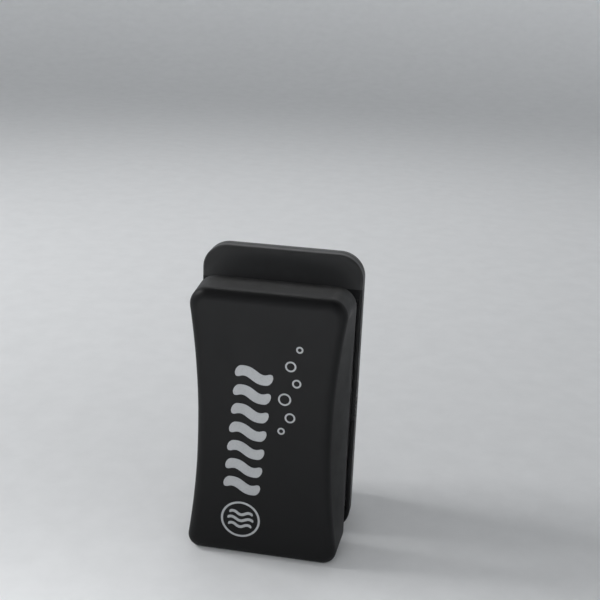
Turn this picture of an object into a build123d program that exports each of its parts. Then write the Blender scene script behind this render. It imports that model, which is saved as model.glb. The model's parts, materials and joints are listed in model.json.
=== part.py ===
"""Two-piece magnetic cleaner for aquarium glass.

X runs across the cleaner, Y runs through the pane from the hand side (-Y) to the
tank side (+Y), and Z runs up along the two halves, which stand on their lower ends
at Z = 0 with the gap for the pane between them at Y = -14 to -6. Millimetres.
"""

import os
from math import cos, radians, sin

from build123d import *

os.makedirs("parts", exist_ok=True)

# ---------------------------------------------------------------- driving dimensions
# Handle half, held in the hand outside the tank
HANDLE_LENGTH = 146.0
HANDLE_WIDTH = 82.0
HANDLE_FACE_Y = -41.0          # gripped front face
HANDLE_BACK_Y = -17.0          # open edge of the shell
HANDLE_BASE_CORNERS = (8.0, 10.0)   # radii at the lower and the upper end
HANDLE_FACE_CORNERS = (6.5, 9.0)
HANDLE_BASE_WAIST = 0.6        # how far the long sides bow in at the open edge
HANDLE_FACE_WAIST = 7.5        # and at the gripped face: the finger scoops
HANDLE_EDGE_ROUND = 5.5
FELT_FACE_Y = -14.0            # felt face that runs on the outside of the pane
FELT_INSET = 2.5
FELT_CORNER = 7.5

# Floating half, inside the tank
FLOAT_LENGTH = 158.5
FLOAT_WIDTH = 84.0
PAD_FACE_Y = -6.0              # scrub pad face that runs on the inside of the pane
FLANGE_FRONT_Y = -4.5
FLANGE_BACK_Y = 3.5
FLANGE_CORNER = 13.0
FLANGE_EDGE_ROUND = 1.2
FLOAT_BACK_Y = 41.0
HULL_BASE_HALF_WIDTH = 38.0
HULL_BASE_LOW, HULL_BASE_HIGH = 4.0, FLOAT_LENGTH - 6.0
HULL_BACK_HALF_WIDTH = 34.5
HULL_BACK_LOW, HULL_BACK_HIGH = 9.0, FLOAT_LENGTH - 12.0
HULL_CORNER = 13.0
HULL_EDGE_ROUND = 9.0

# Moulded walls and closing plate
WALL = 2.6
RIM = 1.6                      # shell rim around the handle's closing plate
PLATE_THICKNESS = 2.5
BOSS_RADIUS = 3.6
PRESS_RIB_X = 12.0             # ribs that press the yoke down
PRESS_RIB_THICKNESS = 2.0

# Magnets and their steel yoke
MAGNET_WIDTH, MAGNET_HEIGHT, MAGNET_DEPTH = 40.0, 25.0, 10.0
MAGNET_CHAMFER = 0.5
MAGNET_SPACING = 34.0
CRADLE_WIDTH, CRADLE_HEIGHT, CRADLE_CORNER = 47.0, 74.0, 3.0
YOKE_WIDTH, YOKE_HEIGHT, YOKE_CORNER = 43.0, 68.0, 2.0
HANDLE_YOKE_THICKNESS = 3.0
FLOAT_YOKE_THICKNESS = 2.0
MAGNET_Z = HANDLE_LENGTH / 2   # middle of the magnet pair in both halves

# Cleaning nose at the upper end
NOSE_LOW = FLOAT_LENGTH - 17.5
NOSE_BACK_Y = -0.5
NOSE_SCREWS = [(x, NOSE_LOW + 4.8) for x in (-18.0, 18.0)]

# Soft facings
ADHESIVE = 0.3
PAD_RECESS = 1.0
PAD_HALF_WIDTH = 30.0
PAD_LOW, PAD_HIGH = 7.0, NOSE_LOW - 4.5
PAD_CORNER = 5.0

# Screws: 3 mm self-tapping in the housings, 2 mm in the blade clamps
HOUSING_HEAD_RADIUS, HOUSING_SHANK_RADIUS, HOUSING_SCREW_LENGTH = 2.8, 1.25, 12.0
NOSE_SCREW_LENGTH = 6.0
CLAMP_HEAD_RADIUS, CLAMP_SHANK_RADIUS, CLAMP_SCREW_LENGTH = 1.2, 0.8, 4.6
HEAD_EDGE = 0.3
CROSS_LENGTH, CROSS_WIDTH, CROSS_DEPTH = 1.2, 0.25, 0.9   # of a head radius
THREAD_FIT = 0.05
HOLE_OVERRUN = 1.0             # of a screw's hole beyond its head and its tip
HANDLE_SCREWS = [(x, z) for x in (-29.0, 29.0) for z in (19.0, HANDLE_LENGTH - 19.0)]
FLOAT_SCREWS = [(x, z) for x in (-27.4, 27.4) for z in (24.0, 77.0, 130.0)]

# Soft edge guard around the flange
GUARD_THICKNESS = 1.5
GUARD_FRONT_Y, GUARD_BACK_Y = 1.5, 4.5

# Seal between flange and hull
SEAL_OUTER_INSET, SEAL_INNER_INSET, SEAL_DEPTH = 0.7, 1.9, 0.8

# Blade units in the two long sides: each carriage slides straight towards the pane
BLADE_TRAVEL = 1.5
CHANNEL_INNER_X, CHANNEL_OUTER_X = 32.0, 40.0
CHANNEL_LOW, CHANNEL_HIGH = 14.0, 136.0
CHANNEL_FLOOR_Y = 1.3
SLIDE_CLEARANCE = 0.3
CARRIAGE_FRONT_Y = -4.2
BLADE_ANGLE = 30.0
BLADE_TIP = (39.4, -4.45)
BLADE_DEPTH = 6.5
BLADE_THICKNESS = 0.5
BLADE_BEVEL = 1.2
BLADE_SETBACK = 2.2            # how far the carriage's seat stays behind the edge
BLADE_EXPOSED = 1.6            # how far the clamp bar stays behind the edge
CLAMP_SCREW_X = 35.4
CLAMP_SCREW_Z = (31.0, 75.0, 119.0)
KEEPER_LENGTH = 2.0            # tongue at each carriage end, kept in by a lip
KEEPER_INNER_X, KEEPER_OUTER_X = 34.0, 38.0
KEEPER_OVERLAP = 1.0           # how far a keeper is rooted in its carriage
KEEPER_FRONT_Y = -1.0
LIP_BACK_Y = KEEPER_FRONT_Y - BLADE_TRAVEL - SLIDE_CLEARANCE
TAB_Z, TAB_LENGTH = 75.0, 16.0
TAB_FRONT_Y, TAB_BACK_Y = -4.2, -0.8
TAB_RELIEF = 0.1               # how far the tab stays behind the flange's edge
TAB_GROOVES, TAB_GROOVE_SIZE = 5, 0.5
TAB_ROOT, TAB_STEP = 0.5, 0.2  # how the tab's inner part joins its carriage
CARRIAGE_INNER_X = CHANNEL_INNER_X + SLIDE_CLEARANCE
CARRIAGE_OUTER_X = CHANNEL_OUTER_X - SLIDE_CLEARANCE
CARRIAGE_BACK_Y = CHANNEL_FLOOR_Y - SLIDE_CLEARANCE
CARRIAGE_LOW = CHANNEL_LOW + SLIDE_CLEARANCE
CARRIAGE_HIGH = CHANNEL_HIGH - SLIDE_CLEARANCE
CARRIAGE_LIP = 1.2
BLADE_END_GAP = 1.7
BLADE_LOW, BLADE_HIGH = CARRIAGE_LOW + BLADE_END_GAP, CARRIAGE_HIGH - BLADE_END_GAP
CLAMP_FIT = 0.1                # between the clamp bar and the carriage's lip


# ------------------------------------------------------------------------- helpers
def facing_hand(y):
    """Drawing plane at depth y, seen from the hand side: local axes are X and Z."""
    return Plane.XZ.offset(-y)


def facing_tank(y):
    """Drawing plane at depth y whose normal points into the tank: local axes -X and Z."""
    return Plane(origin=(0, y, 0), x_dir=(-1, 0, 0), z_dir=(0, 1, 0))


def waisted_outline(y, half_width, low, high, waist, corners):
    """Rounded rectangle whose long sides bow in by waist at mid height.

    corners holds the corner radii at its lower and upper end.
    """
    middle = (low + high) / 2
    with BuildSketch(facing_hand(y), mode=Mode.PRIVATE) as outline:
        with BuildLine():
            Line((-half_width, low), (half_width, low))
            ThreePointArc((half_width, low), (half_width - waist, middle), (half_width, high))
            Line((half_width, high), (-half_width, high))
            ThreePointArc((-half_width, high), (waist - half_width, middle), (-half_width, low))
        make_face()
        for end, radius in zip((0, -1), corners):
            fillet(outline.vertices().group_by(Axis.Y)[end], radius)
    return outline.sketch


def rounded_outline(y, half_width, low, high, corner):
    """Rounded rectangle between heights low and high."""
    with BuildSketch(facing_hand(y), mode=Mode.PRIVATE) as outline:
        with Locations((0, (low + high) / 2)):
            RectangleRounded(2 * half_width, high - low, corner)
    return outline.sketch


def shrunk(corners, inset):
    """Corner radii of the same outline moved inwards by inset."""
    return [radius - inset for radius in corners]


def tile(y_front, y_back, half_width, low, high, corner):
    """Flat piece with rounded corners between two depths."""
    with BuildPart(mode=Mode.PRIVATE) as piece:
        extrude(rounded_outline(y_back, half_width, low, high, corner), amount=y_back - y_front)
    return piece.part


def block(x_low, x_high, y_low, y_high, z_low, z_high):
    """Rectangular block between three pairs of coordinates."""
    with BuildPart(mode=Mode.PRIVATE) as piece:
        with Locations(((x_low + x_high) / 2, (y_low + y_high) / 2, (z_low + z_high) / 2)):
            Box(x_high - x_low, y_high - y_low, z_high - z_low)
    return piece.part


def countersunk_screw(head_radius, shank_radius, length):
    """Cross-head countersunk screw along -Z with the top of its head at Z = 0."""
    taper = head_radius - shank_radius
    with BuildPart(mode=Mode.PRIVATE) as screw:
        with BuildSketch(Plane.XZ):
            with BuildLine():
                Polyline(
                    (0, 0),
                    (head_radius, 0),
                    (head_radius, -HEAD_EDGE),
                    (shank_radius, -HEAD_EDGE - taper),
                    (shank_radius, -length + shank_radius),
                    (shank_radius / 4, -length),
                    (0, -length),
                    close=True,
                )
            make_face()
        revolve(axis=Axis.Z)
        for turn in (0, 90):
            Box(CROSS_LENGTH * head_radius, CROSS_WIDTH * head_radius,
                CROSS_DEPTH * head_radius, rotation=(0, 0, turn), mode=Mode.SUBTRACT)
    return screw.part


def screw_hole(head_radius, shank_radius, length):
    """The space that a countersunk screw leaves, with its head flush."""
    taper = head_radius - shank_radius
    with BuildPart(mode=Mode.PRIVATE) as hole:
        with BuildSketch(Plane.XZ):
            with BuildLine():
                Polyline(
                    (0, HOLE_OVERRUN),
                    (head_radius + THREAD_FIT, HOLE_OVERRUN),
                    (head_radius + THREAD_FIT, -HEAD_EDGE),
                    (shank_radius + THREAD_FIT, -HEAD_EDGE - taper),
                    (shank_radius + THREAD_FIT, -length - HOLE_OVERRUN),
                    (0, -length - HOLE_OVERRUN),
                    close=True,
                )
            make_face()
        revolve(axis=Axis.Z)
    return hole.part


def at(plane, places):
    """Locations on a plane for a list of (X, Z) places of the cleaner."""
    flip = round(plane.x_dir.X)
    return Locations(*[plane * Location((flip * x, z, 0)) for x, z in places])


housing_screw = countersunk_screw(HOUSING_HEAD_RADIUS, HOUSING_SHANK_RADIUS, HOUSING_SCREW_LENGTH)
housing_hole = screw_hole(HOUSING_HEAD_RADIUS, HOUSING_SHANK_RADIUS, HOUSING_SCREW_LENGTH)
nose_screw = countersunk_screw(HOUSING_HEAD_RADIUS, HOUSING_SHANK_RADIUS, NOSE_SCREW_LENGTH)
nose_hole = screw_hole(HOUSING_HEAD_RADIUS, HOUSING_SHANK_RADIUS, NOSE_SCREW_LENGTH)
clamp_screw = countersunk_screw(CLAMP_HEAD_RADIUS, CLAMP_SHANK_RADIUS, CLAMP_SCREW_LENGTH)
clamp_hole = screw_hole(CLAMP_HEAD_RADIUS, CLAMP_SHANK_RADIUS, CLAMP_SCREW_LENGTH)

# --------------------------------------------------------------------- handle half
handle_inner_face_y = HANDLE_FACE_Y + WALL
handle_plate_front_y = HANDLE_BACK_Y - PLATE_THICKNESS
handle_yoke_y = handle_plate_front_y - MAGNET_DEPTH - HANDLE_YOKE_THICKNESS

with BuildPart() as outer_shell:
    loft(
        [
            waisted_outline(HANDLE_BACK_Y, HANDLE_WIDTH / 2, 0, HANDLE_LENGTH,
                            HANDLE_BASE_WAIST, HANDLE_BASE_CORNERS),
            waisted_outline(HANDLE_FACE_Y, HANDLE_WIDTH / 2, 0, HANDLE_LENGTH,
                            HANDLE_FACE_WAIST, HANDLE_FACE_CORNERS),
        ],
        ruled=True,
    )
    fillet(outer_shell.faces().sort_by(Axis.Y)[0].edges(), HANDLE_EDGE_ROUND)
    loft(
        [
            waisted_outline(HANDLE_BACK_Y, HANDLE_WIDTH / 2 - WALL, WALL, HANDLE_LENGTH - WALL,
                            HANDLE_BASE_WAIST, shrunk(HANDLE_BASE_CORNERS, WALL)),
            waisted_outline(handle_inner_face_y, HANDLE_WIDTH / 2 - WALL, WALL,
                            HANDLE_LENGTH - WALL, HANDLE_FACE_WAIST,
                            shrunk(HANDLE_FACE_CORNERS, WALL)),
        ],
        ruled=True,
        mode=Mode.SUBTRACT,
    )
    with at(facing_hand(handle_plate_front_y), HANDLE_SCREWS):
        Cylinder(BOSS_RADIUS, handle_plate_front_y - handle_inner_face_y,
                 align=(Align.CENTER, Align.CENTER, Align.MIN))
    for x in (-PRESS_RIB_X, PRESS_RIB_X):
        add(block(x - PRESS_RIB_THICKNESS / 2, x + PRESS_RIB_THICKNESS / 2,
                  handle_inner_face_y, handle_yoke_y,
                  MAGNET_Z - YOKE_HEIGHT / 2, MAGNET_Z + YOKE_HEIGHT / 2))
    extrude(
        waisted_outline(HANDLE_BACK_Y, HANDLE_WIDTH / 2 - RIM, RIM, HANDLE_LENGTH - RIM,
                        HANDLE_BASE_WAIST, shrunk(HANDLE_BASE_CORNERS, RIM)),
        amount=PLATE_THICKNESS,
        mode=Mode.SUBTRACT,
    )
    with at(facing_tank(HANDLE_BACK_Y), HANDLE_SCREWS):
        add(housing_hole, mode=Mode.SUBTRACT)
outer_shell.part.label = "outer_shell"
export_step(outer_shell.part, "parts/outer_shell.step")

with BuildPart() as outer_closing_plate:
    extrude(
        waisted_outline(HANDLE_BACK_Y, HANDLE_WIDTH / 2 - RIM, RIM, HANDLE_LENGTH - RIM,
                        HANDLE_BASE_WAIST, shrunk(HANDLE_BASE_CORNERS, RIM)),
        amount=PLATE_THICKNESS,
    )
    with at(facing_tank(HANDLE_BACK_Y), HANDLE_SCREWS):
        add(housing_hole, mode=Mode.SUBTRACT)
outer_closing_plate.part.label = "outer_closing_plate"
export_step(outer_closing_plate.part, "parts/outer_closing_plate.step")

with BuildPart() as outer_screws:
    with at(facing_tank(HANDLE_BACK_Y), HANDLE_SCREWS):
        add(housing_screw)
outer_screws.part.label = "outer_screws"
export_step(outer_screws.part, "parts/outer_screws.step")

with BuildPart() as outer_pad_adhesive:
    add(tile(HANDLE_BACK_Y, HANDLE_BACK_Y + ADHESIVE, HANDLE_WIDTH / 2 - FELT_INSET,
             FELT_INSET, HANDLE_LENGTH - FELT_INSET, FELT_CORNER))
outer_pad_adhesive.part.label = "outer_pad_adhesive"
export_step(outer_pad_adhesive.part, "parts/outer_pad_adhesive.step")

with BuildPart() as outer_felt_pad:
    add(tile(HANDLE_BACK_Y + ADHESIVE, FELT_FACE_Y, HANDLE_WIDTH / 2 - FELT_INSET,
             FELT_INSET, HANDLE_LENGTH - FELT_INSET, FELT_CORNER))
outer_felt_pad.part.label = "outer_felt_pad"
export_step(outer_felt_pad.part, "parts/outer_felt_pad.step")


# ------------------------------------------------------- magnet stacks of both halves
def magnet_stack(seat_y, outward, middle, yoke_thickness):
    """Cradle, magnet pair and yoke on a seat at depth seat_y, stacked towards outward Y."""
    magnet_y = sorted((seat_y, seat_y + outward * MAGNET_DEPTH))
    yoke_y = sorted((seat_y + outward * MAGNET_DEPTH,
                     seat_y + outward * (MAGNET_DEPTH + yoke_thickness)))
    centres = [middle - MAGNET_SPACING / 2, middle + MAGNET_SPACING / 2]
    with BuildPart(mode=Mode.PRIVATE) as magnets:
        for z in centres:
            add(block(-MAGNET_WIDTH / 2, MAGNET_WIDTH / 2, *magnet_y,
                      z - MAGNET_HEIGHT / 2, z + MAGNET_HEIGHT / 2))
        chamfer(magnets.edges(), MAGNET_CHAMFER)
    with BuildPart(mode=Mode.PRIVATE) as yoke:
        add(tile(*yoke_y, YOKE_WIDTH / 2, middle - YOKE_HEIGHT / 2, middle + YOKE_HEIGHT / 2,
                 YOKE_CORNER))
    with BuildPart(mode=Mode.PRIVATE) as cradle:
        add(tile(min(magnet_y[0], yoke_y[0]), max(magnet_y[1], yoke_y[1]), CRADLE_WIDTH / 2,
                 middle - CRADLE_HEIGHT / 2, middle + CRADLE_HEIGHT / 2, CRADLE_CORNER))
        add(yoke.part, mode=Mode.SUBTRACT)
        for z in centres:
            add(block(-MAGNET_WIDTH / 2, MAGNET_WIDTH / 2, *magnet_y,
                      z - MAGNET_HEIGHT / 2, z + MAGNET_HEIGHT / 2), mode=Mode.SUBTRACT)
    return {"magnet_cradle": cradle.part, "magnets": magnets.part, "yoke_plate": yoke.part}


stacks = {
    "outer": magnet_stack(handle_plate_front_y, -1, MAGNET_Z, HANDLE_YOKE_THICKNESS),
    "float": magnet_stack(FLANGE_BACK_Y, 1, MAGNET_Z, FLOAT_YOKE_THICKNESS),
}
for half, stack in stacks.items():
    for piece, solid in stack.items():
        solid.label = f"{half}_{piece}"
        export_step(solid, f"parts/{half}_{piece}.step")

# ------------------------------------------------------------------- floating half
float_inner_back_y = FLOAT_BACK_Y - WALL
float_yoke_back_y = FLANGE_BACK_Y + MAGNET_DEPTH + FLOAT_YOKE_THICKNESS

with BuildPart() as float_hull:
    loft(
        [
            rounded_outline(FLANGE_BACK_Y, HULL_BASE_HALF_WIDTH, HULL_BASE_LOW,
                            HULL_BASE_HIGH, HULL_CORNER),
            rounded_outline(FLOAT_BACK_Y, HULL_BACK_HALF_WIDTH, HULL_BACK_LOW,
                            HULL_BACK_HIGH, HULL_CORNER),
        ],
        ruled=True,
    )
    fillet(float_hull.faces().sort_by(Axis.Y)[-1].edges(), HULL_EDGE_ROUND)
    loft(
        [
            rounded_outline(FLANGE_BACK_Y, HULL_BASE_HALF_WIDTH - WALL, HULL_BASE_LOW + WALL,
                            HULL_BASE_HIGH - WALL, HULL_CORNER - WALL),
            rounded_outline(float_inner_back_y, HULL_BACK_HALF_WIDTH - WALL,
                            HULL_BACK_LOW + WALL, HULL_BACK_HIGH - WALL, HULL_CORNER - WALL),
        ],
        ruled=True,
        mode=Mode.SUBTRACT,
    )
    with at(facing_tank(FLANGE_BACK_Y), FLOAT_SCREWS):
        Cylinder(BOSS_RADIUS, float_inner_back_y - FLANGE_BACK_Y,
                 align=(Align.CENTER, Align.CENTER, Align.MIN))
    for x in (-PRESS_RIB_X, PRESS_RIB_X):
        add(block(x - PRESS_RIB_THICKNESS / 2, x + PRESS_RIB_THICKNESS / 2,
                  float_yoke_back_y, float_inner_back_y,
                  MAGNET_Z - YOKE_HEIGHT / 2, MAGNET_Z + YOKE_HEIGHT / 2))
    with at(facing_hand(FLANGE_FRONT_Y + PAD_RECESS), FLOAT_SCREWS):
        add(housing_hole, mode=Mode.SUBTRACT)
float_hull.part.label = "float_hull"
export_step(float_hull.part, "parts/float_hull.step")


def seal_outline(y, inset):
    """Line of the hull's rim, moved inwards."""
    return rounded_outline(y, HULL_BASE_HALF_WIDTH - inset, HULL_BASE_LOW + inset,
                           HULL_BASE_HIGH - inset, HULL_CORNER - inset)


with BuildPart() as float_seal_ring:
    extrude(seal_outline(FLANGE_BACK_Y, SEAL_OUTER_INSET), amount=SEAL_DEPTH)
    extrude(seal_outline(FLANGE_BACK_Y, SEAL_INNER_INSET), amount=SEAL_DEPTH,
            mode=Mode.SUBTRACT)
float_seal_ring.part.label = "float_seal_ring"
export_step(float_seal_ring.part, "parts/float_seal_ring.step")


def flange_outline(y, inset=0.0):
    """Outline of the floating half's flange, moved inwards by inset."""
    return rounded_outline(y, FLOAT_WIDTH / 2 - inset, inset, FLOAT_LENGTH - inset,
                           FLANGE_CORNER - inset)


with BuildPart() as edge_guard:
    extrude(flange_outline(GUARD_BACK_Y), amount=GUARD_BACK_Y - GUARD_FRONT_Y)
    fillet(edge_guard.faces().sort_by(Axis.Y)[-1].edges(), GUARD_THICKNESS / 2)
    extrude(flange_outline(GUARD_BACK_Y, GUARD_THICKNESS),
            amount=GUARD_BACK_Y - GUARD_FRONT_Y, mode=Mode.SUBTRACT)
edge_guard.part.label = "edge_guard"
export_step(edge_guard.part, "parts/edge_guard.step")

with BuildPart(mode=Mode.PRIVATE) as channel:
    add(block(CHANNEL_INNER_X, CHANNEL_OUTER_X, FLANGE_FRONT_Y, CHANNEL_FLOOR_Y,
              CHANNEL_LOW, CHANNEL_HIGH))
    add(block(KEEPER_INNER_X - SLIDE_CLEARANCE, KEEPER_OUTER_X + SLIDE_CLEARANCE,
              LIP_BACK_Y, CHANNEL_FLOOR_Y,
              CHANNEL_LOW - KEEPER_LENGTH, CHANNEL_HIGH + KEEPER_LENGTH))
    add(block(CHANNEL_OUTER_X, FLOAT_WIDTH / 2, FLANGE_FRONT_Y,
              TAB_BACK_Y + SLIDE_CLEARANCE,
              TAB_Z - TAB_LENGTH / 2, TAB_Z + TAB_LENGTH / 2))

with BuildPart(mode=Mode.PRIVATE) as flange_blank:
    extrude(flange_outline(FLANGE_BACK_Y), amount=FLANGE_BACK_Y - FLANGE_FRONT_Y)
    fillet(flange_blank.faces().sort_by(Axis.Y)[0].edges(), FLANGE_EDGE_ROUND)

nose_space = block(-FLOAT_WIDTH / 2, FLOAT_WIDTH / 2, FLANGE_FRONT_Y, NOSE_BACK_Y,
                   NOSE_LOW, FLOAT_LENGTH)

with BuildPart() as float_flange:
    add(flange_blank.part)
    extrude(flange_outline(FLANGE_BACK_Y), amount=FLANGE_BACK_Y - GUARD_FRONT_Y,
            mode=Mode.SUBTRACT)
    extrude(flange_outline(FLANGE_BACK_Y, GUARD_THICKNESS),
            amount=FLANGE_BACK_Y - GUARD_FRONT_Y)
    add(tile(FLANGE_FRONT_Y, FLANGE_FRONT_Y + PAD_RECESS, PAD_HALF_WIDTH, PAD_LOW, PAD_HIGH,
             PAD_CORNER), mode=Mode.SUBTRACT)
    add(nose_space, mode=Mode.SUBTRACT)
    extrude(seal_outline(FLANGE_BACK_Y, SEAL_OUTER_INSET), amount=SEAL_DEPTH,
            mode=Mode.SUBTRACT)
    extrude(seal_outline(FLANGE_BACK_Y, SEAL_INNER_INSET), amount=SEAL_DEPTH)
    add(channel.part, mode=Mode.SUBTRACT)
    add(mirror(channel.part, about=Plane.YZ, mode=Mode.PRIVATE), mode=Mode.SUBTRACT)
    with at(facing_hand(FLANGE_FRONT_Y + PAD_RECESS), FLOAT_SCREWS):
        add(housing_hole, mode=Mode.SUBTRACT)
    with at(facing_tank(FLANGE_BACK_Y), NOSE_SCREWS):
        add(nose_hole, mode=Mode.SUBTRACT)
float_flange.part.label = "float_flange"
export_step(float_flange.part, "parts/float_flange.step")

with BuildPart() as float_screws:
    with at(facing_hand(FLANGE_FRONT_Y + PAD_RECESS), FLOAT_SCREWS):
        add(housing_screw)
float_screws.part.label = "float_screws"
export_step(float_screws.part, "parts/float_screws.step")

with BuildPart() as scrub_pad_adhesive:
    add(tile(FLANGE_FRONT_Y + PAD_RECESS - ADHESIVE, FLANGE_FRONT_Y + PAD_RECESS,
             PAD_HALF_WIDTH, PAD_LOW, PAD_HIGH, PAD_CORNER))
scrub_pad_adhesive.part.label = "scrub_pad_adhesive"
export_step(scrub_pad_adhesive.part, "parts/scrub_pad_adhesive.step")

with BuildPart() as scrub_pad:
    add(tile(PAD_FACE_Y, FLANGE_FRONT_Y + PAD_RECESS - ADHESIVE, PAD_HALF_WIDTH,
             PAD_LOW, PAD_HIGH, PAD_CORNER))
scrub_pad.part.label = "scrub_pad"
export_step(scrub_pad.part, "parts/scrub_pad.step")

with BuildPart() as cleaning_nose:
    add(flange_blank.part)
    add(nose_space, mode=Mode.INTERSECT)
    with at(facing_tank(FLANGE_BACK_Y), NOSE_SCREWS):
        add(nose_hole, mode=Mode.SUBTRACT)
cleaning_nose.part.label = "cleaning_nose"
export_step(cleaning_nose.part, "parts/cleaning_nose.step")

with BuildPart() as nose_screws:
    with at(facing_tank(FLANGE_BACK_Y), NOSE_SCREWS):
        add(nose_screw)
nose_screws.part.label = "nose_screws"
export_step(nose_screws.part, "parts/nose_screws.step")

# --------------------------------------------------------------------- blade units
# Section of the +X unit. The blade leans inwards and away from the pane from its tip.
lean_x, lean_y = -cos(radians(BLADE_ANGLE)), sin(radians(BLADE_ANGLE))


def on_blade(along, behind):
    """Point at a distance from the tip along the blade and behind its pane-side face."""
    return (BLADE_TIP[0] + along * lean_x + behind * lean_y,
            BLADE_TIP[1] + along * lean_y - behind * lean_x)


def bar(points, low, high):
    """Straight bar along Z with the given section."""
    with BuildPart(mode=Mode.PRIVATE) as piece:
        with BuildSketch(Plane.XY.offset(low)):
            with BuildLine():
                Polyline(*points, close=True)
            make_face()
        extrude(amount=high - low)
    return piece.part


clamp_screw_places = [(CLAMP_SCREW_X, z) for z in CLAMP_SCREW_Z]
seat_root = on_blade(BLADE_DEPTH, BLADE_THICKNESS)
seat_end = on_blade(BLADE_SETBACK, BLADE_THICKNESS)
lip_x = CARRIAGE_INNER_X + CARRIAGE_LIP
clamp_end = on_blade(BLADE_EXPOSED, 0)
clamp_root = on_blade(BLADE_DEPTH, 0)

with BuildPart(mode=Mode.PRIVATE) as carriage:
    add(bar(
        [
            (CARRIAGE_INNER_X, CARRIAGE_BACK_Y),
            (CARRIAGE_OUTER_X, CARRIAGE_BACK_Y),
            (CARRIAGE_OUTER_X, seat_end[1]),
            seat_end,
            seat_root,
            (lip_x, seat_root[1]),
            (lip_x, CARRIAGE_FRONT_Y),
            (CARRIAGE_INNER_X, CARRIAGE_FRONT_Y),
        ],
        CARRIAGE_LOW,
        CARRIAGE_HIGH,
    ))
    for end, outward in ((CARRIAGE_LOW, -1), (CARRIAGE_HIGH, 1)):
        keeper_z = sorted((end - outward * KEEPER_OVERLAP,
                           end + outward * (KEEPER_LENGTH - SLIDE_CLEARANCE)))
        add(block(KEEPER_INNER_X, KEEPER_OUTER_X, KEEPER_FRONT_Y, CARRIAGE_BACK_Y, *keeper_z))
    tab_half = TAB_LENGTH / 2 - SLIDE_CLEARANCE
    tab_outer_x = FLOAT_WIDTH / 2 - TAB_RELIEF
    add(block(CARRIAGE_OUTER_X - TAB_ROOT, tab_outer_x, seat_end[1] + TAB_STEP, TAB_BACK_Y,
              TAB_Z - tab_half, TAB_Z + tab_half))
    add(block(CHANNEL_OUTER_X + SLIDE_CLEARANCE, tab_outer_x, TAB_FRONT_Y, TAB_BACK_Y,
              TAB_Z - tab_half, TAB_Z + tab_half))
    groove_pitch = 2 * tab_half / (TAB_GROOVES + 1)
    for index in range(TAB_GROOVES):
        groove_z = TAB_Z - tab_half + (index + 1) * groove_pitch
        add(block(tab_outer_x - TAB_GROOVE_SIZE, tab_outer_x, TAB_FRONT_Y, TAB_BACK_Y,
                  groove_z - TAB_GROOVE_SIZE, groove_z + TAB_GROOVE_SIZE), mode=Mode.SUBTRACT)
    with at(facing_hand(CARRIAGE_FRONT_Y), clamp_screw_places):
        add(clamp_hole, mode=Mode.SUBTRACT)

with BuildPart(mode=Mode.PRIVATE) as blade:
    add(bar(
        [
            BLADE_TIP,
            on_blade(BLADE_BEVEL, BLADE_THICKNESS),
            on_blade(BLADE_DEPTH, BLADE_THICKNESS),
            on_blade(BLADE_DEPTH, 0),
        ],
        BLADE_LOW,
        BLADE_HIGH,
    ))
    with at(facing_hand(CARRIAGE_FRONT_Y), clamp_screw_places):
        add(clamp_hole, mode=Mode.SUBTRACT)

with BuildPart(mode=Mode.PRIVATE) as clamp:
    add(bar(
        [
            (lip_x + CLAMP_FIT, CARRIAGE_FRONT_Y),
            (clamp_end[0] - (clamp_end[1] - CARRIAGE_FRONT_Y), CARRIAGE_FRONT_Y),
            clamp_end,
            clamp_root,
            (lip_x + CLAMP_FIT, clamp_root[1]),
        ],
        BLADE_LOW,
        BLADE_HIGH,
    ))
    with at(facing_hand(CARRIAGE_FRONT_Y), clamp_screw_places):
        add(clamp_hole, mode=Mode.SUBTRACT)

with BuildPart(mode=Mode.PRIVATE) as clamp_screws:
    with at(facing_hand(CARRIAGE_FRONT_Y), clamp_screw_places):
        add(clamp_screw)

blade_unit = {
    "blade_carriage": carriage.part,
    "blade": blade.part,
    "blade_clamp": clamp.part,
    "blade_clamp_screws": clamp_screws.part,
}
for piece, solid in blade_unit.items():
    for side, placed in (("right", solid), ("left", mirror(solid, about=Plane.YZ))):
        placed.label = f"{piece}_{side}"
        export_step(placed, f"parts/{piece}_{side}.step")
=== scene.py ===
import json
import math
import random

import bmesh
import bpy
from mathutils import Matrix, Vector, noise


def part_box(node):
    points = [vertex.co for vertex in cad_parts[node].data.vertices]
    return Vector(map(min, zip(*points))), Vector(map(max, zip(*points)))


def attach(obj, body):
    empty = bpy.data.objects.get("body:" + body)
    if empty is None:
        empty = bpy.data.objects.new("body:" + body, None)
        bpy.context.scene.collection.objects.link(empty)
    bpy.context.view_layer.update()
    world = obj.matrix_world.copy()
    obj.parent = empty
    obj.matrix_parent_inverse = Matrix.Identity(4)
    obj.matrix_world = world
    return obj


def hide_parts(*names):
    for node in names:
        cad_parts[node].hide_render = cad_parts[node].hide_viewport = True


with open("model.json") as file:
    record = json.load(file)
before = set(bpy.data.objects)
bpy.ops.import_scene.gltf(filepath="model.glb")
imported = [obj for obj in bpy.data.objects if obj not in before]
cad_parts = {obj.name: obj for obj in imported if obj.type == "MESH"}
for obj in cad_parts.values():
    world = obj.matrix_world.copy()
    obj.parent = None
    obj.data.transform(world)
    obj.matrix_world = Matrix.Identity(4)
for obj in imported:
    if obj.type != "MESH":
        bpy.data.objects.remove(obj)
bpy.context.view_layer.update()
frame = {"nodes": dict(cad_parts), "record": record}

MM = 0.001
RECORD = frame["record"]
NODES = frame["nodes"]


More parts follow.
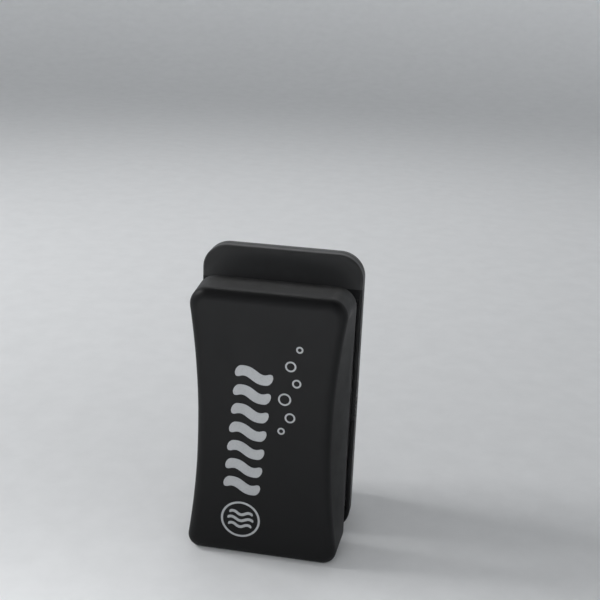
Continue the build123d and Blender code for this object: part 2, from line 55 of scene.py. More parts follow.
# ---------------------------------------------------------------- camera and stage
# The camera stands in front of the handle half, a little to its right and above it.
CAMERA_PLACE = Vector((95.0, -493.0, 304.4)) * MM
CAMERA_FORWARD = Vector((-0.16208, 0.93088, -0.32739)).normalized()
CAMERA_UP = Vector((-0.09587, 0.31535, 0.94412)).normalized()
CAMERA_LENS = 61.12
SENSOR_WIDTH = 36.0
CLIP_START, CLIP_END = 0.01, 60.0
COVE_RINGS = (0.05, 0.3, 0.8)  # radii of the inner rings of the flat floor
COVE_FLAT = 1.5                # radius of the flat floor
COVE_BEND = 1.2                # radius of the bend up to the cove's wall
COVE_BEND_STEPS = 12
COVE_TURNS = 72                # corners round the cove
COVE_TOP = 2.0
# strength of the painted glow on the cove's wall, standing in for light falling on it
COVE_PAINTED_GLOW = 0.44
PAINTED_GLOW_HEIGHT = 0.7              # height at which the cove's painted glow is full
ROOM_COLOUR = (0.93, 0.95, 0.97, 1)
ROOM_STRENGTH = 0.07
# Name, place, what it points at, size, power in watts and spread in degrees
SOFTBOXES = [
    ("key_left", (-0.95, 0.0, 0.85), (0, 0, 0.08), (0.4, 0.4), 6.2, 180),
    ("rim_behind", (-0.1, 0.9, 0.9), (0, -0.02, 0.14), (0.9, 0.3), 2.5, 180),
    ("front_floor", (0, -0.62, 0.5), (0, -0.62, 0), (0.8, 0.3), 6.5, 100),
]


def add_camera():
    """The photograph's view."""
    data = bpy.data.cameras.new("camera")
    data.lens = CAMERA_LENS
    data.sensor_width = SENSOR_WIDTH
    data.clip_start, data.clip_end = CLIP_START, CLIP_END
    camera = bpy.data.objects.new("camera", data)
    bpy.context.collection.objects.link(camera)
    back = -CAMERA_FORWARD
    right = CAMERA_UP.cross(back).normalized()
    up = back.cross(right)
    camera.matrix_world = Matrix((
        (right.x, up.x, back.x, CAMERA_PLACE.x),
        (right.y, up.y, back.y, CAMERA_PLACE.y),
        (right.z, up.z, back.z, CAMERA_PLACE.z),
        (0, 0, 0, 1),
    ))
    bpy.context.scene.camera = camera


def add_softbox(name, place, target, size, power, spread):
    """A rectangular lamp at place that points at target."""
    data = bpy.data.lights.new(name, "AREA")
    data.shape = "RECTANGLE"
    data.size, data.size_y = size
    data.energy = power
    data.spread = math.radians(spread)
    light = bpy.data.objects.new(name, data)
    bpy.context.collection.objects.link(light)
    place, target = Vector(place), Vector(target)
    light.matrix_world = Matrix.Translation(place) @ (
        (target - place).to_track_quat("-Z", "Y").to_matrix().to_4x4()
    )


def add_lights():
    """Key at the left, rim light behind, a lit floor in front of the face, and a dim room."""
    for softbox in SOFTBOXES:
        add_softbox(*softbox)
    world = bpy.data.worlds.new("studio")
    world.use_nodes = True
    background = world.node_tree.nodes["Background"]
    background.inputs["Color"].default_value = ROOM_COLOUR
    background.inputs["Strength"].default_value = ROOM_STRENGTH
    bpy.context.scene.world = world
    bpy.context.scene.view_settings.view_transform = "Standard"


# ------------------------------------------------------------------------ materials
MIX_FACTOR, MIX_A, MIX_B, MIX_RESULT = 0, 6, 7, 2   # a mix node's colour sockets
MOULD_GRAIN = 0.00042          # shared by the housings and the print laid on them
MOULD_GRAIN_DEPTH, PRINT_GRAIN_DEPTH = 0.000030, 0.000022
WEFT_SCALE, WARP_SCALE = 330.0, 420.0


class Shader:
    """A Principled material whose inputs are fed by short node chains."""

    def __init__(self, name):
        self.material = bpy.data.materials.new(name)
        self.material.use_nodes = True
        self.tree = self.material.node_tree
        self.tree.nodes.clear()
        self.output = self.tree.nodes.new("ShaderNodeOutputMaterial")
        self.surface = self.tree.nodes.new("ShaderNodeBsdfPrincipled")
        self.tree.links.new(self.surface.outputs[0], self.output.inputs["Surface"])
        self.place = self.tree.nodes.new("ShaderNodeTexCoord").outputs["Object"]

    def node(self, kind, inputs=None, **settings):
        made = self.tree.nodes.new(kind)
        for key, value in settings.items():
            setattr(made, key, value)
        for key, value in (inputs or {}).items():
            self.feed(made.inputs[key], value)
        return made

    def feed(self, socket, value):
        if isinstance(value, bpy.types.NodeSocket):
            self.tree.links.new(value, socket)
        else:
            socket.default_value = value

    def set(self, **inputs):
        """Uniform values and linked chains on the Principled sockets."""
        for key, value in inputs.items():
            self.feed(self.surface.inputs[key.replace("_", " ")], value)

    def stretched(self, scale):
        """Object coordinates scaled per axis."""
        return self.node("ShaderNodeMapping", {"Vector": self.place, "Scale": scale}).outputs[0]

    def noise(self, size, detail=2.0, roughness=0.5, vector=None):
        """Noise whose features are about size metres across."""
        return self.node("ShaderNodeTexNoise", {
            "Vector": vector or self.place, "Scale": 1 / size, "Detail": detail,
            "Roughness": roughness,
        }).outputs["Fac"]

    def cells(self, size):
        """Distance from the middles of cells about size metres across."""
        return self.node("ShaderNodeTexVoronoi", {
            "Vector": self.place, "Scale": 1 / size,
        }).outputs["Distance"]

    def ramp(self, factor, *stops):
        """Colour or grey value from (position, value) stops."""
        made = self.node("ShaderNodeValToRGB", {"Fac": factor})
        elements = made.color_ramp.elements
        while len(elements) < len(stops):
            elements.new(0.5)
        for element, (position, value) in zip(elements, stops):
            element.position = position
            colour = shade(value) if isinstance(value, float) else value
            element.color = (*colour, 1)
        return made.outputs["Color"]

    def mix(self, factor, a, b):
        """Colour a where factor is 0 and b where it is 1."""
        made = self.node("ShaderNodeMix", data_type="RGBA")
        self.feed(made.inputs[MIX_FACTOR], factor)
        for index, value in ((MIX_A, a), (MIX_B, b)):
            self.feed(made.inputs[index], (*value, 1) if isinstance(value, tuple) else value)
        return made.outputs[MIX_RESULT]

    def math(self, operation, a, b):
        made = self.node("ShaderNodeMath", operation=operation)
        self.feed(made.inputs[0], a)
        self.feed(made.inputs[1], b)
        return made.outputs[0]

    def edges(self, low, high):
        """1 on convex edges, 0 elsewhere."""
        pointed = self.node("ShaderNodeNewGeometry").outputs["Pointiness"]
        return self.ramp(pointed, (low, 0.0), (high, 1.0))

    def bump(self, height, depth, under=None, strength=1.0):
        """Relief of the given depth, laid over the relief under."""
        made = self.node("ShaderNodeBump", {"Height": height, "Distance": depth,
                                            "Strength": strength})
        if under is not None:
            self.feed(made.inputs["Normal"], under)
        return made.outputs[0]


def shade(value):
    """Neutral grey."""
    return (value, value, value)


def moulded_black():
    """Satin black ABS with a fine spark-eroded mould grain and rubbed edges."""
    s = Shader("housing_black")
    grain = s.noise(MOULD_GRAIN, 3, 0.6)
    flow = s.noise(0.045, 3, 0.55)
    rub = s.noise(0.011, 4, 0.65)
    speck = s.ramp(s.cells(0.0021), (0.0, 1.0), (0.09, 0.0))
    colour = s.ramp(flow, (0.3, (0.0032, 0.0033, 0.0036)), (0.7, (0.0046, 0.0047, 0.0051)))
    worn = s.math("MULTIPLY", s.edges(0.515, 0.56), s.ramp(rub, (0.42, 0.1), (0.65, 0.8)))
    colour = s.mix(worn, colour, (0.011, 0.0113, 0.012))
    colour = s.mix(s.math("MULTIPLY", speck, 0.25), colour, (0.014, 0.0143, 0.015))
    s.set(Base_Color=colour)
    smooth = s.ramp(rub, (0.25, 0.46), (0.75, 0.55))
    s.set(Roughness=s.mix(worn, smooth, shade(0.36)))
    s.set(Specular_IOR_Level=0.19)
    s.set(Normal=s.bump(grain, MOULD_GRAIN_DEPTH, s.bump(flow, 0.00022), 0.75))
    return s.material


def inner_plastic():
    """Unpainted dark grey moulding with sink marks and a finer grain."""
    s = Shader("inner_plastic")
    grain = s.noise(0.0006, 2, 0.5)
    flow = s.noise(0.02, 3, 0.6)
    s.set(Base_Color=s.ramp(flow, (0.3, (0.030, 0.031, 0.033)), (0.7, (0.041, 0.042, 0.044))))
    s.set(Roughness=s.ramp(grain, (0.3, 0.48), (0.7, 0.62)))
    s.set(Normal=s.bump(grain, 0.00002, s.bump(flow, 0.0002)))
    return s.material


def soft_guard():
    """Matte soft-touch elastomer with a dusty sheen."""
    s = Shader("soft_guard")
    grain = s.noise(0.0003, 3, 0.7)
    dust = s.noise(0.006, 5, 0.7)
    colour = s.ramp(dust, (0.35, (0.0085, 0.0085, 0.009)), (0.75, (0.0145, 0.0145, 0.015)))
    s.set(Base_Color=s.mix(s.edges(0.52, 0.58), colour, (0.022, 0.022, 0.023)))
    s.set(Roughness=s.ramp(dust, (0.3, 0.62), (0.8, 0.78)))
    s.set(Sheen_Weight=0.15, Sheen_Roughness=0.5)
    s.set(Normal=s.bump(grain, 0.00003))
    return s.material


def seal_rubber():
    """Dark nitrile gasket with a faint bloom."""
    s = Shader("seal_rubber")
    bloom = s.noise(0.003, 4, 0.6)
    s.set(Base_Color=s.ramp(bloom, (0.4, (0.013, 0.013, 0.013)), (0.8, (0.035, 0.034, 0.033))))
    s.set(Roughness=s.ramp(bloom, (0.3, 0.4), (0.8, 0.6)))
    s.set(Normal=s.bump(s.noise(0.0005, 2), 0.00002))
    return s.material


def carriage_plastic():
    """Glossier dark acetal with fine tooling lines along its length."""
    s = Shader("carriage_plastic")
    lines = s.noise(0.0005, 2, 0.5, s.stretched((1, 1, 0.02)))
    cloud = s.noise(0.008, 3)
    colour = s.ramp(cloud, (0.3, (0.0050, 0.0052, 0.0056)), (0.7, (0.0072, 0.0074, 0.0079)))
    s.set(Base_Color=s.mix(s.edges(0.52, 0.6), colour, (0.016, 0.0163, 0.017)))
    s.set(Specular_IOR_Level=0.28)
    s.set(Roughness=s.ramp(lines, (0.3, 0.28), (0.7, 0.42)))
    s.set(Normal=s.bump(lines, 0.000012))
    return s.material


def brushed(name, bright, dark, grain_size, stretch, rough, depth):
    """Metal with directional grinding lines, small pits and brighter edges."""
    s = Shader(name)
    lines = s.noise(grain_size, 4, 0.65, s.stretched(stretch))
    stain = s.noise(0.012, 4, 0.6)
    pits = s.ramp(s.cells(0.0017), (0.0, 1.0), (0.07, 0.0))
    colour = s.mix(s.ramp(lines, (0.25, 0.0), (0.75, 1.0)), shade(dark), shade(bright))
    colour = s.mix(s.ramp(stain, (0.5, 0.0), (0.85, 0.35)), colour,
                   (bright * 0.86, bright * 0.80, bright * 0.70))
    colour = s.mix(s.math("MULTIPLY", pits, 0.4), colour, shade(dark * 0.5))
    s.set(Base_Color=s.mix(s.edges(0.53, 0.62), colour, shade(min(1.0, bright * 1.15))))
    s.set(Metallic=1.0)
    s.set(Roughness=s.ramp(lines, (0.3, rough), (0.7, rough + 0.14)))
    s.set(Normal=s.bump(lines, depth))
    return s.material


def blade_steel():
    """Stainless strip, ground across its edge."""
    return brushed("blade_steel", 0.70, 0.50, 0.00012, (1, 1, 8), 0.16, 0.000006)


def yoke_steel():
    """Cold-rolled plate with rolling lines along Z."""
    return brushed("yoke_steel", 0.42, 0.27, 0.0004, (1, 1, 0.03), 0.32, 0.00002)


def screw_steel():
    """Zinc-bright turned screws."""
    return brushed("screw_steel", 0.68, 0.52, 0.0002, (1, 6, 1), 0.18, 0.000008)


def magnet_nickel():
    """Nickel plating with a slightly warm, orange-peeled surface."""
    s = Shader("magnet_nickel")
    peel = s.noise(0.0012, 3, 0.5)
    haze = s.noise(0.01, 4, 0.6)
    s.set(Base_Color=s.ramp(haze, (0.3, (0.66, 0.63, 0.57)), (0.7, (0.74, 0.71, 0.66))))
    s.set(Metallic=1.0)
    s.set(Roughness=s.ramp(haze, (0.3, 0.14), (0.7, 0.28)))
    s.set(Normal=s.bump(peel, 0.00001))
    return s.material


def adhesive_film():
    """Translucent amber transfer tape, seen as a thin edge."""
    s = Shader("adhesive_film")
    bubbles = s.cells(0.0016)
    s.set(Base_Color=s.ramp(bubbles, (0.05, (0.30, 0.25, 0.16)), (0.4, (0.42, 0.36, 0.24))))
    s.set(Roughness=s.ramp(s.noise(0.003), (0.3, 0.3), (0.7, 0.5)))
    s.set(Normal=s.bump(bubbles, 0.00003))
    return s.material


def felt():
    """Needled charcoal felt: mottled wool colours under a soft sheen."""
    s = Shader("felt")
    mottle = s.noise(0.0022, 5, 0.7)
    hair = s.noise(0.0005, 4, 0.8, s.stretched((1, 1, 0.35)))
    colour = s.ramp(mottle, (0.3, (0.030, 0.031, 0.034)), (0.7, (0.070, 0.071, 0.076)))
    colour = s.mix(s.ramp(hair, (0.55, 0.0), (0.75, 0.6)), colour, (0.13, 0.13, 0.14))
    s.set(Base_Color=colour, Roughness=s.ramp(hair, (0.3, 0.86), (0.7, 0.97)))
    s.set(Sheen_Weight=0.35, Sheen_Roughness=0.6)
    s.set(Normal=s.bump(hair, 0.00012, s.bump(mottle, 0.0003)))
    return s.material


def felt_hair():
    """Single wool fibres, some lighter than the mass."""
    s = Shader("felt_hair")
    pick = s.cells(0.0035)
    s.set(Base_Color=s.ramp(pick, (0.1, (0.05, 0.05, 0.055)), (0.6, (0.20, 0.20, 0.21))))
    s.set(Roughness=s.ramp(s.noise(0.0002, 3), (0.3, 0.7), (0.7, 0.9)))
    s.set(Sheen_Weight=0.4, Sheen_Roughness=0.5)
    return s.material


def hook_tape():
    """Woven nylon ground of the hook facing."""
    s = Shader("hook_tape")
    weft, warp = (
        s.node("ShaderNodeTexWave", {
            "Vector": s.place, "Scale": scale, "Distortion": 0.6, "Detail": 1.0,
        }, bands_direction=direction).outputs["Fac"]
        for scale, direction in ((WEFT_SCALE, "Z"), (WARP_SCALE, "X"))
    )
    weave = s.math("MAXIMUM", weft, warp)
    s.set(Base_Color=s.ramp(weave, (0.3, (0.010, 0.010, 0.011)), (0.9, (0.042, 0.043, 0.046))))
    s.set(Roughness=s.ramp(weave, (0.2, 0.75), (0.9, 0.55)))
    s.set(Normal=s.bump(weave, 0.00015))
    return s.material


def hook_nylon():
    """Glossy nylon monofilament of the hooks."""
    s = Shader("hook_nylon")
    pick = s.noise(0.004, 3, 0.6)
    s.set(Base_Color=s.ramp(pick, (0.3, (0.022, 0.022, 0.024)), (0.7, (0.06, 0.061, 0.064))))
    s.set(Roughness=s.ramp(pick, (0.3, 0.3), (0.7, 0.45)))
    return s.material


def print_ink():
    """Pale grey pad-printing ink, laid thin over the mould grain."""
    s = Shader("print_ink")
    cover = s.noise(0.0009, 4, 0.7)
    cloud = s.noise(0.01, 3)
    colour = s.ramp(cover, (0.25, (0.33, 0.34, 0.35)), (0.5, (0.41, 0.42, 0.43)))
    s.set(Base_Color=s.mix(s.ramp(cloud, (0.4, 0.0), (0.8, 0.25)), colour, (0.30, 0.31, 0.32)))
    s.set(Roughness=s.ramp(cover, (0.3, 0.5), (0.7, 0.62)))
    s.set(Normal=s.bump(s.noise(MOULD_GRAIN, 3, 0.6), PRINT_GRAIN_DEPTH))
    return s.material


def floor_paper():
    """Plain pale studio paper, with a painted glow that rises towards the top of the cove in
    place of light falling on its wall.
    """
    s = Shader("floor_paper")
    fibre = s.noise(0.02, 5, 0.6)
    height = s.node("ShaderNodeSeparateXYZ", {"Vector": s.place}).outputs["Z"]
    # painted light: emission that grows with height makes the cove's wall glow as if lit
    s.set(Emission_Color=ROOM_COLOUR)
    s.set(Emission_Strength=s.ramp(height, (0.0, 0.0), (PAINTED_GLOW_HEIGHT, COVE_PAINTED_GLOW)))
    s.set(Base_Color=s.ramp(fibre, (0.3, (0.80, 0.81, 0.82)), (0.7, (0.84, 0.85, 0.86))))
    s.set(Roughness=0.9)
    s.set(Normal=s.bump(s.noise(0.0015, 3), 0.00005))
    return s.material


def dress_nodes():
    """Gives every CAD node the finish of its material slot."""
    finishes = {
        "housing_black": moulded_black(),
        "inner_plastic": inner_plastic(),
        "screw_steel": screw_steel(),
        "adhesive_film": adhesive_film(),
        "felt": felt(),
        "magnet_nickel": magnet_nickel(),
        "yoke_steel": yoke_steel(),
        "seal_rubber": seal_rubber(),
        "soft_guard": soft_guard(),
        "hook_pad": hook_tape(),
        "carriage_plastic": carriage_plastic(),
        "blade_steel": blade_steel(),
    }
    for entry in RECORD["subparts"]:
        for place in NODES[entry["node"]].material_slots:
            place.material = finishes[entry["material_slot"]]
    return finishes


# ----------------------------------------------------------------------- mesh pieces
LEAST_CORNER = 0.0002
CORNER_STEPS = 8               # round each corner of a pad
EDGE_STEPS = 4                 # over the rounded edge of a pad
SOFTENING = 0.5
GLUED_REACH = 0.0008           # how far the glued side holds a pad's surface still


def mesh_object(name, vertices, faces, material, smooth=True):
    """A mesh object with one material, linked into the scene."""
    data = bpy.data.meshes.new(name)
    data.from_pydata([tuple(v) for v in vertices], [], faces)
    data.validate()
    data.update()
    data.materials.append(material)
    if smooth:
        data.polygons.foreach_set("use_smooth", [True] * len(data.polygons))
    made = bpy.data.objects.new(name, data)
    bpy.context.collection.objects.link(made)
    return made


def rounded_loop(low, high, corner, inset):
    """Points round a rounded rectangle in X and Z, moved inwards by inset."""
    radius = max(corner - inset, LEAST_CORNER)
    x0, z0, x1, z1 = low[0] + inset, low[1] + inset, high[0] - inset, high[1] - inset
    centres = [(x1 - radius, z0 + radius, -90), (x1 - radius, z1 - radius, 0),
               (x0 + radius, z1 - radius, 90), (x0 + radius, z0 + radius, 180)]
    points = []
    for cx, cz, start in centres:
        for step in range(CORNER_STEPS + 1):
            angle = math.radians(start + 90 * step / CORNER_STEPS)
            points.append((cx + radius * math.cos(angle), cz + radius * math.sin(angle)))
    return points


def slab(name, node, corner, y_back, y_face, edge_round, material):
    """Closed pad in the outline of a CAD node, from y_back to a rounded edge at y_face."""
    low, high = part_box(node)
    low2, high2 = (low[0], low[2]), (high[0], high[2])
    toward = 1 if y_face > y_back else -1
    rings = [(0.0, y_back)]
    for step in range(EDGE_STEPS + 1):
        angle = math.radians(90 * step / EDGE_STEPS)
        rings.append((edge_round * (1 - math.cos(angle)),
                      y_face - toward * edge_round * (1 - math.sin(angle))))
    vertices, faces = [], []
    for inset, y in rings:
        loop = rounded_loop(low2, high2, corner, inset)
        count = len(loop)
        vertices += [(x, y, z) for x, z in loop]
    for ring in range(len(rings) - 1):
        for i in range(count):
            j = (i + 1) % count
            a, b = ring * count, (ring + 1) * count
            faces.append((a + i, a + j, b + j, b + i))
    faces.append(tuple(range(count)))
    faces.append(tuple(range((len(rings) - 1) * count, len(rings) * count)))
    return mesh_object(name, vertices, faces, material, smooth=False)


def apply_modifiers(piece):
    """Turns the piece's modifiers into plain mesh."""
    graph = bpy.context.evaluated_depsgraph_get()
    data = bpy.data.meshes.new_from_object(piece.evaluated_get(graph))
    old = piece.data
    piece.modifiers.clear()
    piece.data = data
    bpy.data.meshes.remove(old)


def face_outwards(piece):
    """Makes all normals point out of the closed piece."""
    shape = bmesh.new()
    shape.from_mesh(piece.data)
    bmesh.ops.recalc_face_normals(shape, faces=shape.faces)
    shape.to_mesh(piece.data)
    shape.free()


def remeshed(piece, voxel, smoothing):
    """Even small quads over a closed piece, with its edges softened."""
    remesh = piece.modifiers.new("even", "REMESH")
    remesh.mode = "VOXEL"
    remesh.voxel_size = voxel
    soften = piece.modifiers.new("soften", "SMOOTH")
    soften.factor = SOFTENING
    soften.iterations = smoothing
    apply_modifiers(piece)
    piece.data.polygons.foreach_set("use_smooth", [True] * len(piece.data.polygons))


def roughen(piece, layers, keep_y):
    """Moves the surface along its normals by layered noise, less near the glued side keep_y."""
    data = piece.data
    moved = []
    for vertex in data.vertices:
        lift = sum(depth * noise.noise(vertex.co / size) for size, depth in layers)
        near = min(1.0, abs(vertex.co.y - keep_y) / GLUED_REACH)
        moved.append(vertex.co + vertex.normal * lift * near)
    for vertex, place in zip(data.vertices, moved):
        vertex.co = place
    data.update()


class Tubes:
    """Many fine tubes gathered in one mesh."""

    def __init__(self, sides):
        self.sides = sides
        self.vertices, self.faces = [], []

    def add(self, path, radius, taper):
        """A closed tube along path, whose far end has taper times its radius."""
        start = len(self.vertices)
        n = self.sides
        for index, point in enumerate(path):
            before, after = path[max(index - 1, 0)], path[min(index + 1, len(path) - 1)]
            along = (after - before).normalized()
            side = along.orthogonal().normalized()
            other = along.cross(side)
            width = radius * (1 - (1 - taper) * index / (len(path) - 1))
            for k in range(n):
                angle = 2 * math.pi * k / n
                self.vertices.append(point + width * (math.cos(angle) * side
                                                      + math.sin(angle) * other))
        for ring in range(len(path) - 1):
            for k in range(n):
                a, b = start + ring * n, start + (ring + 1) * n
                self.faces.append((a + k, a + (k + 1) % n, b + (k + 1) % n, b + k))
        last = start + (len(path) - 1) * n
        self.faces.append(tuple(start + k for k in reversed(range(n))))
        self.faces.append(tuple(last + k for k in range(n)))

    def build(self, name, material):
        return mesh_object(name, self.vertices, self.faces, material)


# ------------------------------------------------------------------------ felt facing
FELT_CORNER = 0.0075
FELT_EDGE_ROUND = 0.0007
FELT_VOXEL, FELT_SMOOTHING = 0.00075, 3
FELT_LUMPS = [(0.0035, 0.00014), (0.0012, 0.00012)]   # size and depth of each layer
FELT_SEED = 11
FELT_FIBRES = 5200
FIBRE_SIDES = 3
FIBRE_STEPS = 4
FIBRE_RADIUS, FIBRE_TAPER = 0.000028, 0.6
FIBRE_LENGTHS = (0.0012, 0.0034)
FIBRE_TURN = 1.4               # most that a fibre turns, in radians
FIBRE_RISES = (0.00004, 0.00020)
FIBRE_SUNK = 0.00006           # how deep a fibre's ends are in the felt
FIBRE_INSET, FIBRE_MARGIN = 0.001, 0.0004   # of its start and its end from the edge
CORNER_MARGIN = 0.0003


def felt_facing(finishes):
    """The handle half's felt: a needled slab with loose fibres over its face and edges."""
    low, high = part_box("outer_felt_pad")
    piece = slab("felt_facing", "outer_felt_pad", FELT_CORNER, low[1], high[1],
                 FELT_EDGE_ROUND, finishes["felt"])
    face_outwards(piece)
    remeshed(piece, FELT_VOXEL, FELT_SMOOTHING)
    roughen(piece, FELT_LUMPS, low[1])
    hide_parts("outer_felt_pad")
    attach(piece, "handle_half")

    chance = random.Random(FELT_SEED)
    hairs = Tubes(FIBRE_SIDES)
    for _ in range(FELT_FIBRES):
        x = chance.uniform(low[0] + FIBRE_INSET, high[0] - FIBRE_INSET)
        z = chance.uniform(low[2] + FIBRE_INSET, high[2] - FIBRE_INSET)
        heading = chance.uniform(0, 2 * math.pi)
        turn = chance.uniform(-FIBRE_TURN, FIBRE_TURN)
        length = chance.uniform(*FIBRE_LENGTHS)
        rise = chance.uniform(*FIBRE_RISES)
        path, at = [], Vector((x, high[1] - FIBRE_SUNK, z))
        for step in range(FIBRE_STEPS + 1):
            share = step / FIBRE_STEPS
            path.append(Vector((at.x, at.y + rise * math.sin(math.pi * share), at.z)))
            angle = heading + turn * share
            at += Vector((math.cos(angle), 0, math.sin(angle))) * length / FIBRE_STEPS
            at.x = min(max(at.x, low[0] + FIBRE_MARGIN), high[0] - FIBRE_MARGIN)
            at.z = min(max(at.z, low[2] + FIBRE_MARGIN), high[2] - FIBRE_MARGIN)
        if in_corner(path[0], low, high) or in_corner(path[-1], low, high):
            continue
        hairs.add(path, FIBRE_RADIUS, FIBRE_TAPER)
    fibres = hairs.build("felt_fibres", felt_hair())
    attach(fibres, "handle_half")


def in_corner(point, low, high, radius=FELT_CORNER):
    """True where a point lies outside the rounded corners of a pad."""
    dx = max(low[0] + radius - point.x, point.x - high[0] + radius, 0)
    dz = max(low[2] + radius - point.z, point.z - high[2] + radius, 0)
    return math.hypot(dx, dz) > radius - CORNER_MARGIN


# --------------------------------------------------------------------------- hook pad
SCRUB_CORNER = 0.005
SCRUB_GROUND = 0.0011          # thickness of the woven ground
SCRUB_SEED = 5
GROUND_EDGE_ROUND = 0.35       # of the ground's thickness
GROUND_VOXEL, GROUND_SMOOTHING = 0.0006, 2
GROUND_LUMPS = [(0.004, 0.00008), (0.0009, 0.00005)]
SELVAGE = 0.0013
HOOK_PITCH_X = 0.00145
HOOK_PITCH_Z = 0.00165
HOOK_RADIUS, HOOK_TAPER = 0.00010, 0.8
HOOK_SIDES = 4
HOOK_STEPS = 5                 # round the curl
HOOK_SUNK = 0.00005            # how deep a hook's foot is in the ground
HOOK_CURL = 0.30               # radius of the curl, of the hook's height
CURL_TURN = 205                # degrees
CURL_FLATTENED = 0.95
HOOK_BEND = (0.5, 0.06)        # height on the stem, of the stem, and offset, of the curl
HOOK_UNEVEN = 0.12


def hook_pad(name, node, corner, ground, finishes, nylon, seed):
    """A hook facing: woven ground and rows of curled nylon hooks, alternately turned."""
    low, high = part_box(node)
    ground_y = high[1] - ground
    base = slab(f"{name}_ground", node, corner, high[1], ground_y,
                ground * GROUND_EDGE_ROUND, finishes["hook_pad"])
    face_outwards(base)
    remeshed(base, GROUND_VOXEL, GROUND_SMOOTHING)
    roughen(base, GROUND_LUMPS, high[1])
    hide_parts(node)
    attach(base, "float_half")

    chance = random.Random(seed)
    hooks = Tubes(HOOK_SIDES)
    height = ground_y - low[1] - HOOK_RADIUS
    curl = height * HOOK_CURL
    stem = height - curl
    columns = int((high[0] - low[0] - 2 * SELVAGE) / HOOK_PITCH_X)
    rows = int((high[2] - low[2] - 2 * SELVAGE) / HOOK_PITCH_Z)
    for row in range(rows + 1):
        for column in range(columns + 1):
            x = (low[0] + high[0]) / 2 + (column - columns / 2) * HOOK_PITCH_X
            z = (low[2] + high[2]) / 2 + (row - rows / 2) * HOOK_PITCH_Z
            foot = Vector((x, ground_y + HOOK_SUNK, z))
            if in_corner(foot, low, high, corner + SELVAGE / 2):
                continue
            facing = (1 if row % 2 else -1) * (1 + chance.uniform(-HOOK_UNEVEN, HOOK_UNEVEN))
            lean = chance.uniform(-HOOK_UNEVEN, HOOK_UNEVEN)
            path = [foot, foot + Vector((0, -stem * HOOK_BEND[0],
                                         HOOK_BEND[1] * curl * facing))]
            for step in range(HOOK_STEPS + 1):
                angle = math.radians(CURL_TURN * step / HOOK_STEPS)
                path.append(foot + Vector((
                    lean * curl * step / HOOK_STEPS,
                    -stem - curl * math.sin(angle) * CURL_FLATTENED,
                    facing * curl * (1 - math.cos(angle)),
                )))
            hooks.add(path, HOOK_RADIUS, HOOK_TAPER)
    field = hooks.build(f"{name}_hooks", nylon)
    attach(field, "float_half")


# ---------------------------------------------------------------------- printed motif
PRINT_THICKNESS = 0.00005             # to either side of the gripped face
PRINT_ORIGIN = (-0.0234, 0.0116)      # lower left of the motif on the gripped face
PRINT_LEAN = math.radians(4.6)
INK_EDGE = 0.02                       # least half thickness of a printed line
WAVE_STEPS, RING_STEPS = 72, 56
WAVE_ROWS = 7
WAVE_LOW, WAVE_PITCH = 31.0, 10.4
WAVE_LEFT, WAVE_RIGHT = 1.0, 20.5
WAVE_SWING, WAVE_WIDTH = 1.7, 5.4
BUBBLES = [(27.6, 66.0, 1.9), (31.2, 74.0, 2.7), (27.4, 83.5, 3.3), (32.4, 93.0, 2.3),
           (28.4, 101.5, 2.8), (31.8, 111.0, 1.8)]
BUBBLE_LINE = 0.85
BADGE_ACROSS, BADGE_UP, BADGE_RADIUS, BADGE_LINE = 12.0, 11.2, 10.4, 1.1
BADGE_WAVE_OFFSETS = (-3.6, 0.0, 3.6)
BADGE_WAVE_REACH = 0.86               # of the room inside the ring
BADGE_WAVE_SWING, BADGE_WAVE_WIDTH, BADGE_WAVE_COUNT = 0.8, 1.5, 1.5


def on_face(across, up):
    """Motif coordinates, in millimetres, to a place on the gripped face."""
    c, s = math.cos(PRINT_LEAN), math.sin(PRINT_LEAN)
    return (PRINT_ORIGIN[0] + (across * c + up * s) * MM,
            PRINT_ORIGIN[1] + (up * c - across * s) * MM)


def printed_strip(name, left, right, ink, closed=False):
    """A thin printed area between two lines of motif points."""
    face_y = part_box("outer_shell")[0][1]
    count = len(left)
    vertices = []
    for y in (face_y - PRINT_THICKNESS, face_y + PRINT_THICKNESS):
        for line in (left, right):
            for point in line:
                x, z = on_face(*point)
                vertices.append((x, y, z))
    faces = []
    for i in range(count if closed else count - 1):
        j = (i + 1) % count
        l0, r0, l1, r1 = i, count + i, 2 * count + i, 3 * count + i
        l0n, r0n, l1n, r1n = j, count + j, 2 * count + j, 3 * count + j
        faces += [(l0, l0n, r0n, r0), (l1, r1, r1n, l1n), (l0, l1, l1n, l0n),
                  (r0, r0n, r1n, r1)]
    if not closed:
        for i in (0, count - 1):
            faces.append((i, count + i, 3 * count + i, 2 * count + i))
    piece = mesh_object(name, vertices, faces, ink, smooth=False)
    face_outwards(piece)
    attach(piece, "handle_half")


def wave_band(name, low_across, high_across, middle, swing, thickness, waves, ink):
    """A printed ribbon that waves across the motif, with round ends."""
    lower, upper = [], []
    for step in range(WAVE_STEPS + 1):
        share = step / WAVE_STEPS
        across = low_across + (high_across - low_across) * share
        phase = 2 * math.pi * waves * share
        up = middle + swing * math.sin(phase)
        slope = swing * math.cos(phase) * 2 * math.pi * waves / (high_across - low_across)
        reach = min(share, 1 - share) * (high_across - low_across) / (thickness / 2)
        half = thickness / 2 * math.sqrt(max(0.0, 1 - (1 - min(reach, 1.0)) ** 2)) + INK_EDGE
        half *= math.hypot(1, slope)
        lower.append((across, up - half))
        upper.append((across, up + half))
    printed_strip(name, lower, upper, ink)


def ring_print(name, across, up, outer, inner, ink):
    """A printed ring."""
    angles = [2 * math.pi * i / RING_STEPS for i in range(RING_STEPS)]
    big = [(across + outer * math.cos(a), up + outer * math.sin(a)) for a in angles]
    small = [(across + inner * math.cos(a), up + inner * math.sin(a)) for a in angles]
    printed_strip(name, big, small, ink, closed=True)


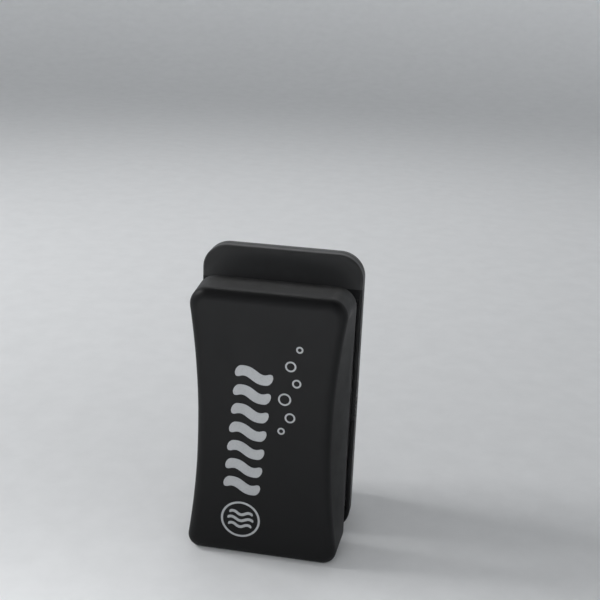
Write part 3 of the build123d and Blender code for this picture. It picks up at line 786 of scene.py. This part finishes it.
def printed_motif():
    """Generic water motif: a column of waves, rising bubbles and a round badge."""
    ink = print_ink()
    for index in range(WAVE_ROWS):
        wave_band(f"print_wave_{index + 1}", WAVE_LEFT, WAVE_RIGHT,
                  WAVE_LOW + WAVE_PITCH * index, WAVE_SWING, WAVE_WIDTH, 1.0, ink)
    for index, (across, up, radius) in enumerate(BUBBLES):
        ring_print(f"print_bubble_{index + 1}", across, up, radius, radius - BUBBLE_LINE, ink)
    ring_print("print_badge_ring", BADGE_ACROSS, BADGE_UP, BADGE_RADIUS,
               BADGE_RADIUS - BADGE_LINE, ink)
    for index, offset in enumerate(BADGE_WAVE_OFFSETS):
        room = math.sqrt((BADGE_RADIUS - 2 * BADGE_LINE) ** 2 - offset ** 2)
        reach = BADGE_WAVE_REACH * room
        wave_band(f"print_badge_wave_{index + 1}", BADGE_ACROSS - reach, BADGE_ACROSS + reach,
                  BADGE_UP + offset, BADGE_WAVE_SWING, BADGE_WAVE_WIDTH,
                  BADGE_WAVE_COUNT, ink)


def add_floor():
    """Round studio cove: flat floor that bends up into a low wall on every side."""
    profile = [(radius, 0.0) for radius in (*COVE_RINGS, COVE_FLAT)]
    for step in range(1, COVE_BEND_STEPS + 1):
        angle = math.radians(90 * step / COVE_BEND_STEPS)
        profile.append((COVE_FLAT + COVE_BEND * math.sin(angle),
                        COVE_BEND * (1 - math.cos(angle))))
    profile.append((COVE_FLAT + COVE_BEND, COVE_TOP))
    turns = COVE_TURNS
    vertices = [(0, 0, 0)]
    for radius, height in profile:
        for turn in range(turns):
            angle = 2 * math.pi * turn / turns
            vertices.append((radius * math.cos(angle), radius * math.sin(angle), height))
    faces = [(0, 1 + turn, 1 + (turn + 1) % turns) for turn in range(turns)]
    for ring in range(len(profile) - 1):
        inner, outer = 1 + ring * turns, 1 + (ring + 1) * turns
        for turn in range(turns):
            after = (turn + 1) % turns
            faces.append((inner + turn, outer + turn, outer + after, inner + after))
    mesh_object("floor", vertices, faces, floor_paper())


# ------------------------------------------------------------------------------ scene
add_camera()
add_lights()
add_floor()
FINISHES = dress_nodes()
felt_facing(FINISHES)
NYLON = hook_nylon()
hook_pad("scrub", "scrub_pad", SCRUB_CORNER, SCRUB_GROUND, FINISHES, NYLON, SCRUB_SEED)
printed_motif()
